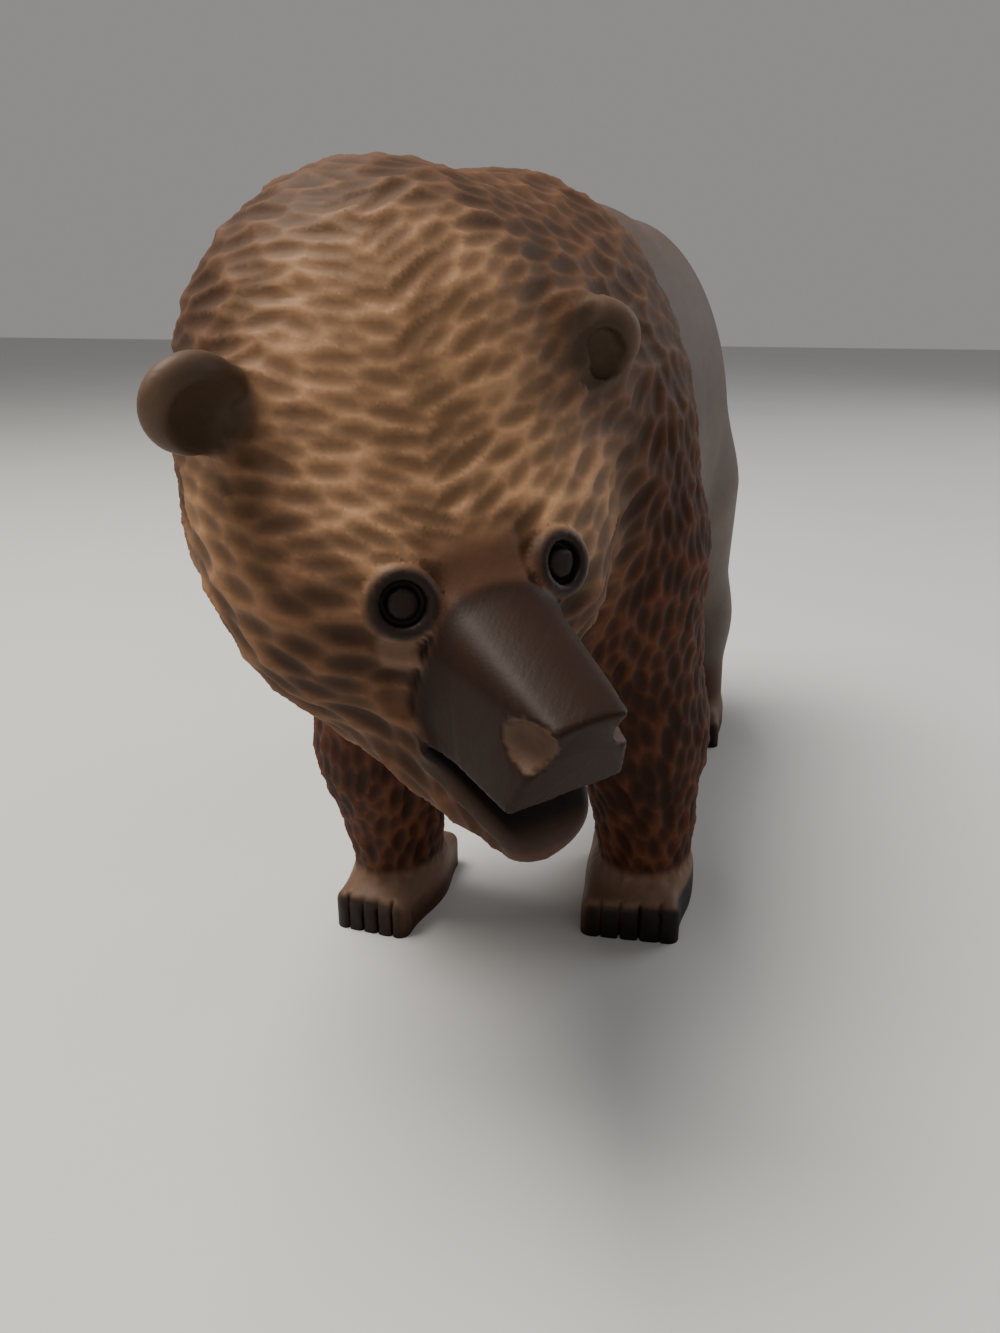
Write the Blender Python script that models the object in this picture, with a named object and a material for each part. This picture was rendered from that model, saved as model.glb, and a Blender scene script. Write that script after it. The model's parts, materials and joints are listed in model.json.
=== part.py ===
"""A carved wooden bear that stands on its own four feet, its head turned to its left and lowered.

Lengths are millimetres until the mesh is made. X runs to the bear's left, Y to its tail and Z up.
"""
from math import cos, radians, sin

import bmesh
import bpy
import numpy as np

GRID = 1.2
SEED = 7

# The gouge cuts of the solid, against those of the real carving.
CUT_SIZE = 2.1
CUT_DEPTH = 1.6


# Middle of each mass of the body, and its half width, half length and half height.
RUMP_AT, RUMP = (0, 138, 112), (38.5, 57, 79)
BELLY_AT, BELLY = (0, 78, 130), (38, 85, 62)
SHOULDER_AT, SHOULDER = (-1, 14, 125), (45, 46, 67)
NECK_AT, NECK = (-15, -34, 143), (40, 38, 48)
TAIL_AT, TAIL = (0, 192, 118), (6, 8, 13)

HEAD_AT = np.array([-3.0, -47.0, 130.0])
HEAD_TURN = 50.0
HEAD_DIP = 19.0
HEAD_TILT = 6.0


def unit(vector):
    vector = np.asarray(vector, float)
    return vector / np.linalg.norm(vector)


def head_axes():
    """Rows: towards the bear's left, out along the muzzle, and up, each as the head holds it."""
    turn, dip, tilt = radians(HEAD_TURN), radians(HEAD_DIP), radians(HEAD_TILT)
    out = np.array([sin(turn) * cos(dip), -cos(turn) * cos(dip), -sin(dip)])
    level = np.array([cos(turn), sin(turn), 0.0])
    up = np.cross(level, -out)
    side = level * cos(tilt) + up * sin(tilt)
    return np.stack([side, out, up * cos(tilt) - level * sin(tilt)])


HEAD_AXES = head_axes()


def join(a, b, k):
    """The smooth union of two distances, k millimetres wide."""
    h = np.maximum(k - np.abs(a - b), 0) / k
    return np.minimum(a, b) - h * h * k * 0.25


def both(a, b, k):
    return -join(-a, -b, k)


def cut(a, b, k):
    return -join(-a, b, k)


def ellipsoid(p, centre, radii, axes=None):
    q = p - np.asarray(centre, float)
    if axes is not None:
        q = q @ np.asarray(axes).T
    radii = np.asarray(radii, float)
    k0 = np.sqrt(((q / radii) ** 2).sum(-1))
    k1 = np.sqrt(((q / radii**2) ** 2).sum(-1))
    return k0 * (k0 - 1) / np.maximum(k1, 1e-9)


def limb(p, start, end, first, last, stretch=(1, 1, 1)):
    """A tapered round bar, in a space stretched along the axes."""
    scale = np.asarray(stretch, float)
    q = (p - np.asarray(start, float)) / scale
    run = (np.asarray(end, float) - np.asarray(start, float)) / scale
    t = np.clip((q @ run) / (run @ run), 0, 1)
    distance = np.sqrt(((q - t[:, None] * run) ** 2).sum(-1)) - (first + (last - first) * t)
    return distance * scale.min()


def block(p, centre, half, radius, axes):
    q = np.abs((p - centre) @ axes.T) - (np.asarray(half, float) - radius)
    return np.sqrt((np.maximum(q, 0) ** 2).sum(-1)) + np.minimum(q.max(-1), 0) - radius


def slope(q, normal, offset):
    return q @ unit(normal) - offset


def ramp(value, low, high):
    t = np.clip((value - low) / (high - low), 0, 1)
    return t * t * (3 - 2 * t)


def trunk(p):
    body = join(ellipsoid(p, RUMP_AT, RUMP), ellipsoid(p, BELLY_AT, BELLY), 20)
    body = join(body, ellipsoid(p, SHOULDER_AT, SHOULDER), 16)
    body = join(body, ellipsoid(p, TAIL_AT, TAIL), 6)
    return join(body, ellipsoid(p, NECK_AT, NECK), 34)


def leg(p, shoulder, knee, ankle, radii):
    upper = limb(p, shoulder, knee, radii[0], radii[1], (0.87, 1.1, 1))
    lower = limb(p, knee, ankle, radii[1], radii[2], (0.87, 1.1, 1))
    return join(upper, lower, 10)


def paw(p, toe, turn, width, length, height=11):
    """A foot whose flat toe face stands at toe; it runs below the floor, where the sole is cut."""
    angle = radians(turn)
    axes = np.array([[cos(angle), sin(angle), 0], [sin(angle), -cos(angle), 0], [0, 0, 1]])
    x, y, z = ((p - [*toe, 0]) @ axes.T).T
    centre = np.array([*toe, height / 2 - 6]) - axes[1] * length / 2
    foot = block(p, centre, (width / 2, length / 2, height / 2 + 6), 3, axes)
    for i in range(1, TOES):
        between = np.abs(x + width * (0.5 - i / TOES)) - TOE_GAP / 2
        nick = np.minimum(-TOE_CUT - y, both(height - 1.2 - z, -TOE_RUN - y, 1))
        foot = cut(foot, both(between, nick, 0.4), 0.6)
    return foot


TOES = 5
TOE_CUT = 2.2
TOE_GAP = 1.4
TOE_RUN = 6.0

# Shoulder or hip, knee, ankle and their radii, then the toe's place, turn, width and length.
LEGS = [
    ((30, 20, 105), (33, 30, 55), (35.3, 35, 4), (19.5, 17, 15.5), (35.4, 9.5), 8, 27, 46),
    ((-30, -8, 105), (-33, 4, 55), (-32.5, 14, 4), (20, 17.5, 13.5), (-33.5, -9.5), 0, 21.5, 44),
    ((20, 142, 100), (27, 160, 50), (31, 168, 4), (27, 17, 13), (32.5, 143.5), 8, 24, 44),
    ((-20, 146, 100), (-27, 172, 50), (-31, 182, 4), (27, 17, 13), (-32.5, 158), -4, 24, 44),
]


def legs(p):
    total = None
    for shoulder, knee, ankle, radii, toe, turn, width, length in LEGS:
        one = join(leg(p, shoulder, knee, ankle, radii), paw(p, toe, turn, width, length), 6)
        total = one if total is None else join(total, one, 5)
    return total


def ear(m):
    face = unit((-0.42, 0.9, -0.1))
    out = unit(np.cross(face, np.cross((0.83, 0.1, 0.5), face)))
    axes = np.stack([out, face, np.cross(out, face)])
    centre = np.array([37.5, 0.5, 25.5])
    lobe = ellipsoid(m, centre, (11, 4.6, 8.6), axes)
    dish = ellipsoid(m, centre + axes[1] * 5.6 - axes[2] * 0.8 - axes[0] * 1.2, (10.4, 5, 7.2), axes)
    return cut(lobe, dish, 0.8)


def muzzle(m):
    s, f, u = m.T
    half = 15.2 - 0.165 * (f - 30) - 0.17 * (u + 12)
    top = 2 - 0.13 * (f - 30) - s * s * 0.018
    bottom = -22.0 - 0.04 * (f - 41)
    r = 6.5 - 0.12 * (f - 30)
    x, z = s - half + r, u - top + r
    arch = np.sqrt(np.maximum(x, 0) ** 2 + np.maximum(z, 0) ** 2) + np.minimum(np.maximum(x, z), 0) - r
    nose = both(both(arch, bottom - u, 1.5), slope(m, (0, 1, -0.18), 65.8), 1.2)
    return both(nose, 10 - f, 2)


def jaw(m):
    """The wedge of the cheeks and the lower jaw, below the open mouth."""
    f, u = m[:, 1], m[:, 2]
    side = both(slope(m, (0.894, 0.447, 0.12), 30.2), slope(m, (0.93, 0, -0.368), 38), 10)
    bottom = -39 - 0.13 * np.maximum(f - 30, 0) - u
    wedge = both(both(side, bottom, 11), slope(m, (0, 0.43, 0.9), -2.6), 1.5)
    return both(both(wedge, slope(m, (0, 1, -0.1), 65), 4), -5 - f, 8)


EYE_AXIS = unit((0.26, 0.83, 0.5))
EYE_RING = 3.4
EYE_GROOVE = 0.95
MOUTH_GAP = 1.0


NOSTRIL_AT = (12.0, 65.0, -7.8)
NOSTRIL = (6.6, 8.6, 5.4)


def face(m):
    """The head in its own axes, its two sides alike, before the eyes are cut."""
    s, f, u = m.T
    skull = ellipsoid(m, (0, -2, -3), (40, 37, 38))
    brow = slope(m, (0, 0.631, 0.776), 24.3) + s * s / 220
    cheek = ellipsoid(m, (17, 12, -12), (19.5, 22, 20))
    mass = join(join(both(skull, brow, 10), cheek, 10), jaw(m), 6)
    mass = join(join(mass, muzzle(m), 5), ear(m), 4)
    scoop = ellipsoid(m, NOSTRIL_AT, NOSTRIL)
    mouth = both(both(u + 22.4 - MOUTH_GAP, -slope(m, (0, 0.43, 0.9), -2.4), 0.3), 41.5 - f, 0.5)
    return cut(cut(mass, scoop, 0.5), mouth, 0.6)


def on_skin(point, axis):
    point = np.asarray(point, float)
    for _ in range(12):
        point = point - axis * face(point[None])[0] * 0.8
    return point


EYE_AT = on_skin((15.3, 31.2, 0.3), EYE_AXIS)


def head(p):
    q = (p - HEAD_AT) @ HEAD_AXES.T
    m = q.copy()
    m[:, 0] = np.abs(m[:, 0])
    mass = face(m)
    r = m - EYE_AT
    depth = r @ EYE_AXIS
    away = np.sqrt(np.maximum((r * r).sum(1) - depth**2, 0))
    lid = np.hypot(away - 4.9, depth + 0.5) - 0.9
    mass = join(mass, lid, 1.6)
    ring = np.maximum(np.abs(away - EYE_RING) - EYE_GROOVE, np.abs(depth - 1) - 2.8)
    return cut(mass, ring, 0.3)


def form(p):
    body = join(trunk(p), legs(p), 12)
    chin = HEAD_AT + np.array([0, 35, -26]) @ HEAD_AXES
    throat = limb(p, chin, (-8, -10, 96), 10, 30)
    return join(join(body, throat, 10), head(p), 9)


# Meshing

CORNERS = np.array([[i, j, k] for i in (0, 1) for j in (0, 1) for k in (0, 1)])


def cells_near(field, low, high, size):
    """The cells of a grid that the surface may cross, found by halving a coarse grid."""
    levels = 3
    step = size * 2**levels
    count = np.ceil((high - low) / step).astype(int)
    cells = np.stack(np.meshgrid(*map(np.arange, count), indexing="ij"), -1).reshape(-1, 3)
    for level in range(levels, 0, -1):
        step = size * 2**level
        distance = field(low + (cells + 0.5) * step)
        cells = cells[np.abs(distance) < step * 1.3]
        cells = (cells[:, None] * 2 + CORNERS).reshape(-1, 3)
    return cells


EDGES = [(a, b) for a in range(8) for b in range(a, 8) if np.abs(CORNERS[a] - CORNERS[b]).sum() == 1]


def sheets(inside):
    """For each edge of a cell, which of the cell's surface sheets crosses it, or -1."""
    group = {e: e for e, (a, b) in enumerate(EDGES) if inside[a] != inside[b]}
    for axis in range(3):
        for end in (0, 1):
            corners = [c for c in range(8) if CORNERS[c][axis] == end]
            rim = [e for e in group if set(EDGES[e]) <= set(corners)]
            pairs = [[e for e in rim if c in EDGES[e]] for c in corners if inside[c]]
            pairs = [rim] if len(rim) == 2 else pairs
            for pair in pairs:
                if len(pair) == 2:
                    old, new = group[pair[0]], group[pair[1]]
                    group = {e: new if g == old else g for e, g in group.items()}
    names = sorted(set(group.values()))
    return [names.index(group[e]) if e in group else -1 for e in range(12)]


def surface(field, low, high, size):
    """Points and quads of the surface where field is zero: a point for each sheet in each crossed cell."""
    cells = cells_near(field, low, high, size)
    span = 1 << 12
    key = lambda c: (c[..., 0] * span + c[..., 1]) * span + c[..., 2]
    corner = key(cells[:, None] + CORNERS)
    ids, index = np.unique(corner, return_inverse=True)
    places = np.stack([ids // span // span, ids // span % span, ids % span], -1)
    values = field(low + places * size)[index.reshape(-1, 8)]
    inside = values < 0
    crossed = inside.any(1) & ~inside.all(1)
    cells, values, inside = cells[crossed], values[crossed], inside[crossed]
    order = np.argsort(key(cells))
    cells, values, inside = cells[order], values[order], inside[order]
    kinds, kind = np.unique(inside @ (1 << np.arange(8)), return_inverse=True)
    table = np.array([sheets([bool(k >> c & 1) for c in range(8)]) for k in kinds.tolist()])
    label = table[kind.reshape(-1)]
    count = label.max(1) + 1
    point_of = (np.cumsum(count) - count)[:, None] + label
    total = np.zeros((count.sum(), 3))
    hits = np.zeros(count.sum())
    for e, (a, b) in enumerate(EDGES):
        on = np.flatnonzero(label[:, e] >= 0)
        t = values[on, a] / (values[on, a] - values[on, b])
        total[point_of[on, e]] += cells[on] + CORNERS[a] + t[:, None] * (CORNERS[b] - CORNERS[a])
        hits[point_of[on, e]] += 1
    points = low + total / hits[:, None] * size
    keys = key(cells)
    quads = []
    for axis in range(3):
        one, two = np.eye(3, dtype=int)[[(axis + 1) % 3, (axis + 2) % 3]]
        along = np.eye(3, dtype=int)[axis]
        on = np.flatnonzero(inside[:, 0] != inside[:, int(along @ [4, 2, 1])])
        quad = []
        for back in (0 * one, one, one + two, two):
            start = int(back @ [4, 2, 1])
            edge = EDGES.index((start, start + int(along @ [4, 2, 1])))
            quad.append(point_of[np.searchsorted(keys, key(cells[on] - back)), edge])
        quad = np.stack(quad, 1)
        quad[inside[on, 0]] = quad[inside[on, 0], ::-1]
        quads.append(quad[:, ::-1])
    return points, np.concatenate(quads)


TETRA = np.array([[1, -1, -1], [-1, -1, 1], [-1, 1, -1], [1, 1, 1]], float)


def gradient(field, points, step=0.3):
    total = sum(v * field(points + v * step)[:, None] for v in TETRA)
    return total / (4 * step)


def settle(field, points, rounds=2):
    for _ in range(rounds):
        g = gradient(field, points)
        points = points - field(points)[:, None] * g / np.maximum((g * g).sum(1), 0.2)[:, None]
    return points


LOW = np.array([-72.0, -120.0, -16.5])
HIGH = np.array([72.0, 210.0, 205.0])


# Carving

MANE_STEP = 1.2


def mane(p):
    """1 ahead of the line behind the shoulder where the fur ends, 0 behind it."""
    line = 36 + 26 * ramp(-p[:, 2], -80, -60) + 1.5 * np.sin(p[:, 2] * 0.21)
    return ramp(line - p[:, 1], -1, 1)


def bare(p):
    """1 where the face and the feet are left smooth."""
    m = (p - HEAD_AT) @ HEAD_AXES.T
    m[:, 0] = np.abs(m[:, 0])
    s, f, u = m.T
    nose = ramp(1.4 - muzzle(m), 0, 0.8) * ramp(f, 32, 36)
    lip = ramp(slope(m, (0, 0.43, 0.9), -6.8), 0, 1) * ramp(f, 40, 43) + ramp(f, 58, 60)
    eye = ramp(7.4 - np.linalg.norm(m - EYE_AT, axis=1), 0, 1)
    lobe = ramp(1.2 - ear(m), 0, 0.8)
    bridge = ramp(f, 25, 31) * ramp(9 - s, 0, 3) * ramp(u, -8, -4)
    feet = ramp(-p[:, 2], -15, -12)
    return np.clip(np.max([nose, lip, eye, lobe, bridge, feet], axis=0), 0, 1)


def tangent(vector, normals):
    flat = vector - normals * (vector * normals).sum(1)[:, None]
    return flat / np.maximum(np.linalg.norm(flat, axis=1), 1e-6)[:, None]


def flow(p, normals):
    """The run of the gouge at each point, and its spacing, length and depth there."""
    q = (p - HEAD_AT) @ HEAD_AXES.T
    s, f, u = q.T
    x, y, z = p.T
    on_head = 1 - ramp(np.linalg.norm(p - HEAD_AT, axis=1), 46, 66)
    h = on_head[:, None]
    back = h * -HEAD_AXES[1] + (1 - h) * np.array([0, 1, 0])
    left = h * HEAD_AXES[0] + (1 - h) * np.array([1, 0, 0])
    side = np.sign(on_head * (s + 3) + (1 - on_head) * (x + 10))
    herringbone = tangent(left * (side * 0.82)[:, None] + back * 0.42 + [0, 0, 0.12], normals)
    down = tangent(np.stack([side * 0.25, 0 * x, -np.ones(len(p))], 1), normals)
    hang = (1 - on_head) * ramp(np.abs(x + 3), 20, 34) * ramp(-z, -165, -140)
    hang = np.maximum(hang, ramp(-z, -105, -85) * (1 - on_head))[:, None]
    down *= np.sign((down * herringbone).sum(1))[:, None]
    run = tangent(herringbone * (1 - hang) + down * hang, normals)
    hang = hang[:, 0]
    front = on_head * ramp(u, 2, 12) * ramp(30 - np.abs(s), 0, 8)
    cheek = on_head * ramp(-u, -8, 2)
    dimple = (1 - on_head) * ramp(x, -4, 8) * ramp(z, 150, 165)
    spacing = 3.5 - 0.7 * front + 0.8 * cheek + 0.6 * (1 - on_head) * (1 - hang) + 0.5 * dimple
    length = 10.5 - 1.5 * front + cheek - 4 * dimple - 2.5 * hang
    depth = 0.65 - 0.2 * front + 0.15 * cheek
    return run, spacing, length, depth


def strokes(points, normals, size, deepen, rng):
    """Gouge cuts over the fur: their places, runs, width axes, normals and half lengths, half widths, depths."""
    allowed = np.flatnonzero(mane(points) * (1 - bare(points)) > 0.5)
    tries = rng.permutation(allowed)[:60000]
    points, normals = points[tries], normals[tries]
    run, spacing, length, depth = flow(points, normals)
    spin = rng.normal(0, 0.1, len(tries))[:, None]
    run = run * np.cos(spin) + np.cross(normals, run) * np.sin(spin)
    across = np.cross(normals, run)
    vary = np.exp(rng.normal(0, 0.14, len(tries)))
    spacing, length = spacing * size, length * size * vary
    cell = np.floor(points / (9 * size)).astype(int)
    taken = {}
    kept = []
    for i in range(len(tries)):
        near = []
        for step in NEIGHBOURS:
            near += taken.get(tuple(cell[i] + step), ())
        if near:
            gap = points[i] - points[near]
            along = (gap * run[near]).sum(1) / (0.78 * length[near])
            aside = (gap * across[near]).sum(1) / spacing[near]
            if (along**2 + aside**2 < 1).any():
                continue
        taken.setdefault(tuple(cell[i]), []).append(i)
        kept.append(i)
    kept = np.array(kept)
    half = np.stack([0.66 * length, 0.72 * spacing, depth * deepen * vary], 1)
    return points[kept], run[kept], across[kept], normals[kept], half[kept]


NEIGHBOURS = [np.array([i, j, k]) for i in (-1, 0, 1) for j in (-1, 0, 1) for k in (-1, 0, 1)]


def relief(points, normals, cuts):
    """How deep the gouge cuts go at each point."""
    reach = max(cuts[4][:, 0])
    cell = np.floor(points / reach).astype(int) + 100
    key = (cell[:, 0] * 1000 + cell[:, 1]) * 1000 + cell[:, 2]
    order = np.argsort(key, kind="stable")
    ids, start = np.unique(key[order], return_index=True)
    ends = dict(zip(ids.tolist(), zip(start.tolist(), [*start[1:].tolist(), len(order)])))
    deep = np.zeros(len(points))
    for place, run, across, normal, (a, w, d) in zip(*cuts):
        home = np.floor(place / reach).astype(int) + 100
        spans = [ends.get(int((c[0] * 1000 + c[1]) * 1000 + c[2])) for c in home + NEIGHBOURS]
        near = np.concatenate([order[one[0] : one[1]] for one in spans if one])
        gap = points[near] - place
        profile = 1 - (gap @ run / a) ** 2 - (gap @ across / w) ** 2
        fits = (profile > 0) & (normals[near] @ normal > 0.2) & (np.abs(gap @ normal) < 3)
        near, profile = near[fits], profile[fits]
        deep[near] = np.maximum(deep[near], d * profile)
    return deep


def carved(size, deepen, grid):
    """Points and quads of the bear with its fur cut, in millimetres."""
    rng = np.random.default_rng(SEED)
    points, quads = surface(form, LOW, HIGH, grid)
    points = settle(form, points)
    normals = gradient(form, points)
    normals /= np.linalg.norm(normals, axis=1)[:, None]
    cuts = strokes(points, normals, size, deepen, rng)
    fur = mane(points) * (1 - bare(points))
    raised = MANE_STEP * mane(points) * ramp(points[:, 1], -15, 10) * ramp(points[:, 2], 14, 40)
    depth = relief(points, normals, cuts) * fur
    return points + normals * (raised - depth)[:, None], quads


# The solid

TRIANGLES = 8600


def solid(points, quads):
    mesh = bpy.data.meshes.new("bear")
    faces = np.concatenate([quads[:, [0, 1, 2]], quads[:, [0, 2, 3]]])
    mesh.from_pydata(points.tolist(), [], faces.tolist())
    bear = bpy.data.objects.new("bear", mesh)
    bpy.context.scene.collection.objects.link(bear)
    fewer = bear.modifiers.new("fewer", "DECIMATE")
    fewer.ratio = TRIANGLES / (2 * len(quads))
    graph = bpy.context.evaluated_depsgraph_get()
    thin = bpy.data.meshes.new_from_object(bear.evaluated_get(graph))
    bear.modifiers.clear()
    bear.data = thin
    bpy.data.meshes.remove(mesh)
    thin.name = "bear"
    return bear


def cut_soles(bear):
    """Cuts the feet level with the floor, centres the bear over the origin and turns it to metres."""
    shape = bmesh.new()
    shape.from_mesh(bear.data)
    everything = [*shape.verts, *shape.edges, *shape.faces]
    bmesh.ops.bisect_plane(shape, geom=everything, plane_co=(0, 0, 0), plane_no=(0, 0, -1), clear_outer=True)
    bmesh.ops.holes_fill(shape, edges=[edge for edge in shape.edges if edge.is_boundary], sides=0)
    bmesh.ops.triangulate(shape, faces=[face for face in shape.faces if len(face.verts) > 3])
    places = np.array([vert.co for vert in shape.verts])
    middle = (places.min(0) + places.max(0)) / 2
    middle[2] = 0
    for vert, place in zip(shape.verts, (places - middle) * 0.001):
        vert.co = place
    bmesh.ops.recalc_face_normals(shape, faces=shape.faces)
    shape.to_mesh(bear.data)
    shape.free()


def wood():
    material = bpy.data.materials.new("stained_wood")
    material.use_nodes = True
    shader = material.node_tree.nodes["Principled BSDF"]
    shader.inputs["Base Color"].default_value = (0.17, 0.075, 0.04, 1)
    shader.inputs["Roughness"].default_value = 0.5
    return material


def main():
    for old in list(bpy.data.objects):
        bpy.data.objects.remove(old)
    bear = solid(*carved(CUT_SIZE, CUT_DEPTH, GRID))
    cut_soles(bear)
    bear.data.materials.clear()
    bear.data.materials.append(wood())


main()
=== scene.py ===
"""A carved wooden bear on a pale floor, seen as in the photograph.

The shape is worked out in millimetres and turned to metres when the mesh is finished.
X runs to the bear's left, Y to its tail and Z up.
"""
import json
from math import cos, radians, sin

import bmesh
import bpy
import numpy as np
from mathutils import Matrix, Vector

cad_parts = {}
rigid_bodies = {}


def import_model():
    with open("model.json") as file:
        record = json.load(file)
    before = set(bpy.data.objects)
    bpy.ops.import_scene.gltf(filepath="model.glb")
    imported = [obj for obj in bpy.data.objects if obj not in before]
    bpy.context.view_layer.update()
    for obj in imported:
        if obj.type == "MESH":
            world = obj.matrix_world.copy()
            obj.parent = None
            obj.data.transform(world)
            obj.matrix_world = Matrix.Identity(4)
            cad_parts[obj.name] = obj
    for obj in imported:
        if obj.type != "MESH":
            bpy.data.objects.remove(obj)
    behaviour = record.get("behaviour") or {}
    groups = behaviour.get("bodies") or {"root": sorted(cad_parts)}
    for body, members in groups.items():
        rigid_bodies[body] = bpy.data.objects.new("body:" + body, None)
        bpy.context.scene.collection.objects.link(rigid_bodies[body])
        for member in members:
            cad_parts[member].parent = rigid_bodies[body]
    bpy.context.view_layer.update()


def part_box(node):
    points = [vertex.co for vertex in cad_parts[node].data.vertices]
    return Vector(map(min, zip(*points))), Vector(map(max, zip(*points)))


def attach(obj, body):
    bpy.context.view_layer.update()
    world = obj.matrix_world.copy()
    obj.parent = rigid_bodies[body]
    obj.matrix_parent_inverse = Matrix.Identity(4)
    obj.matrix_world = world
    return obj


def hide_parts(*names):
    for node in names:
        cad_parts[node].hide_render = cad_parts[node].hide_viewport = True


# Step of the grid that nets the surface, how many times deeper the gouges go than their
# flow says, and the most triangles.
GRID = 0.85
DEEPEN = 1.8
TRIANGLES = 190000
SEED = 7

# Middle of each mass of the body, and its half width, half length and half height.
RUMP_AT, RUMP = (0, 138, 112), (38.5, 57, 79)
BELLY_AT, BELLY = (0, 78, 130), (38, 85, 62)
SHOULDER_AT, SHOULDER = (-1, 14, 125), (45, 46, 67)
NECK_AT, NECK = (-15, -34, 143), (40, 38, 48)
TAIL_AT, TAIL = (0, 192, 118), (6, 8, 13)

HEAD_AT = np.array([-3.0, -47.0, 130.0])
HEAD_TURN = 50.0
HEAD_DIP = 19.0
HEAD_TILT = 6.0


def unit(vector):
    vector = np.asarray(vector, float)
    return vector / np.linalg.norm(vector)


def head_axes():
    """Rows: towards the bear's left, out along the muzzle, and up, each as the head holds it."""
    turn, dip, tilt = radians(HEAD_TURN), radians(HEAD_DIP), radians(HEAD_TILT)
    out = np.array([sin(turn) * cos(dip), -cos(turn) * cos(dip), -sin(dip)])
    level = np.array([cos(turn), sin(turn), 0.0])
    up = np.cross(level, -out)
    side = level * cos(tilt) + up * sin(tilt)
    return np.stack([side, out, up * cos(tilt) - level * sin(tilt)])


HEAD_AXES = head_axes()


def join(a, b, k):
    """The smooth union of two distances, k millimetres wide."""
    h = np.maximum(k - np.abs(a - b), 0) / k
    return np.minimum(a, b) - h * h * k * 0.25


def both(a, b, k):
    """What lies in both, with the edge eased over k millimetres."""
    return -join(-a, -b, k)


def cut(a, b, k):
    """a without b, with the edge eased over k millimetres."""
    return -join(-a, b, k)


def ellipsoid(p, centre, radii, axes=None):
    """An ellipsoid, turned to the axes where they are given."""
    q = p - np.asarray(centre, float)
    if axes is not None:
        q = q @ np.asarray(axes).T
    radii = np.asarray(radii, float)
    k0 = np.sqrt(((q / radii) ** 2).sum(-1))
    k1 = np.sqrt(((q / radii**2) ** 2).sum(-1))
    return k0 * (k0 - 1) / np.maximum(k1, 1e-9)


def limb(p, start, end, first, last, stretch=(1, 1, 1)):
    """A tapered round bar, in a space stretched along the axes."""
    scale = np.asarray(stretch, float)
    q = (p - np.asarray(start, float)) / scale
    run = (np.asarray(end, float) - np.asarray(start, float)) / scale
    t = np.clip((q @ run) / (run @ run), 0, 1)
    distance = np.sqrt(((q - t[:, None] * run) ** 2).sum(-1)) - (first + (last - first) * t)
    return distance * scale.min()


def block(p, centre, half, radius, axes):
    """A box with rounded edges."""
    q = np.abs((p - centre) @ axes.T) - (np.asarray(half, float) - radius)
    return np.sqrt((np.maximum(q, 0) ** 2).sum(-1)) + np.minimum(q.max(-1), 0) - radius


def slope(q, normal, offset):
    """The distance beyond a plane, offset from the origin along its normal."""
    return q @ unit(normal) - offset


def ramp(value, low, high):
    """0 below low, 1 above high and smooth between."""
    t = np.clip((value - low) / (high - low), 0, 1)
    return t * t * (3 - 2 * t)


def trunk(p):
    body = join(ellipsoid(p, RUMP_AT, RUMP), ellipsoid(p, BELLY_AT, BELLY), 20)
    body = join(body, ellipsoid(p, SHOULDER_AT, SHOULDER), 16)
    body = join(body, ellipsoid(p, TAIL_AT, TAIL), 6)
    return join(body, ellipsoid(p, NECK_AT, NECK), 34)


def leg(p, shoulder, knee, ankle, radii):
    upper = limb(p, shoulder, knee, radii[0], radii[1], LEG_STRETCH)
    lower = limb(p, knee, ankle, radii[1], radii[2], LEG_STRETCH)
    return join(upper, lower, 10)


def foot_axes(turn):
    """Rows: across the foot, out past its toes, and up."""
    angle = radians(turn)
    return np.array([[cos(angle), sin(angle), 0], [sin(angle), -cos(angle), 0], [0, 0, 1]])


def paw(p, toe, turn, width, length):
    """A foot whose flat toe face stands at toe; it runs below the floor, where the sole is cut."""
    axes = foot_axes(turn)
    x, y, z = ((p - [*toe, 0]) @ axes.T).T
    centre = np.array([*toe, FOOT_HEIGHT / 2 - BELOW_FLOOR]) - axes[1] * length / 2
    foot = block(p, centre, (width / 2, length / 2, FOOT_HEIGHT / 2 + BELOW_FLOOR), 3, axes)
    for i in range(1, TOES):
        between = np.abs(x + width * (0.5 - i / TOES)) - TOE_GAP / 2
        nick = np.minimum(-TOE_CUT - y, both(FOOT_HEIGHT - TOP_CUT - z, -TOE_RUN - y, 1))
        foot = cut(foot, both(between, nick, 0.4), 0.6)
    return foot


# The legs are narrower than round across the body and wider along it.
LEG_STRETCH = (0.87, 1.1, 1)

# A foot's height, and how far it runs on below the floor.
FOOT_HEIGHT = 11
BELOW_FLOOR = 6

# How many toes, how deep the cuts between them go in front and on top, their width and run.
TOES = 5
TOE_CUT = 2.2
TOP_CUT = 1.2
TOE_GAP = 0.7
TOE_RUN = 3.0

# Shoulder or hip, knee, ankle and their radii, then the toe's place, turn, width and length.
LEGS = [
    ((30, 20, 105), (33, 30, 55), (35.3, 35, 4), (19.5, 17, 15.5), (35.4, 9.5), 8, 27, 46),
    ((-30, -8, 105), (-33, 4, 55), (-32.5, 14, 4), (20, 17.5, 13.5), (-33.5, -9.5), 0, 21.5, 44),
    ((20, 142, 100), (27, 160, 50), (31, 168, 4), (27, 17, 13), (32.5, 143.5), 8, 24, 44),
    ((-20, 146, 100), (-27, 172, 50), (-31, 182, 4), (27, 17, 13), (-32.5, 158), -4, 24, 44),
]


def legs(p):
    total = None
    for shoulder, knee, ankle, radii, toe, turn, width, length in LEGS:
        one = join(leg(p, shoulder, knee, ankle, radii), paw(p, toe, turn, width, length), 6)
        total = one if total is None else join(total, one, 5)
    return total


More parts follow.
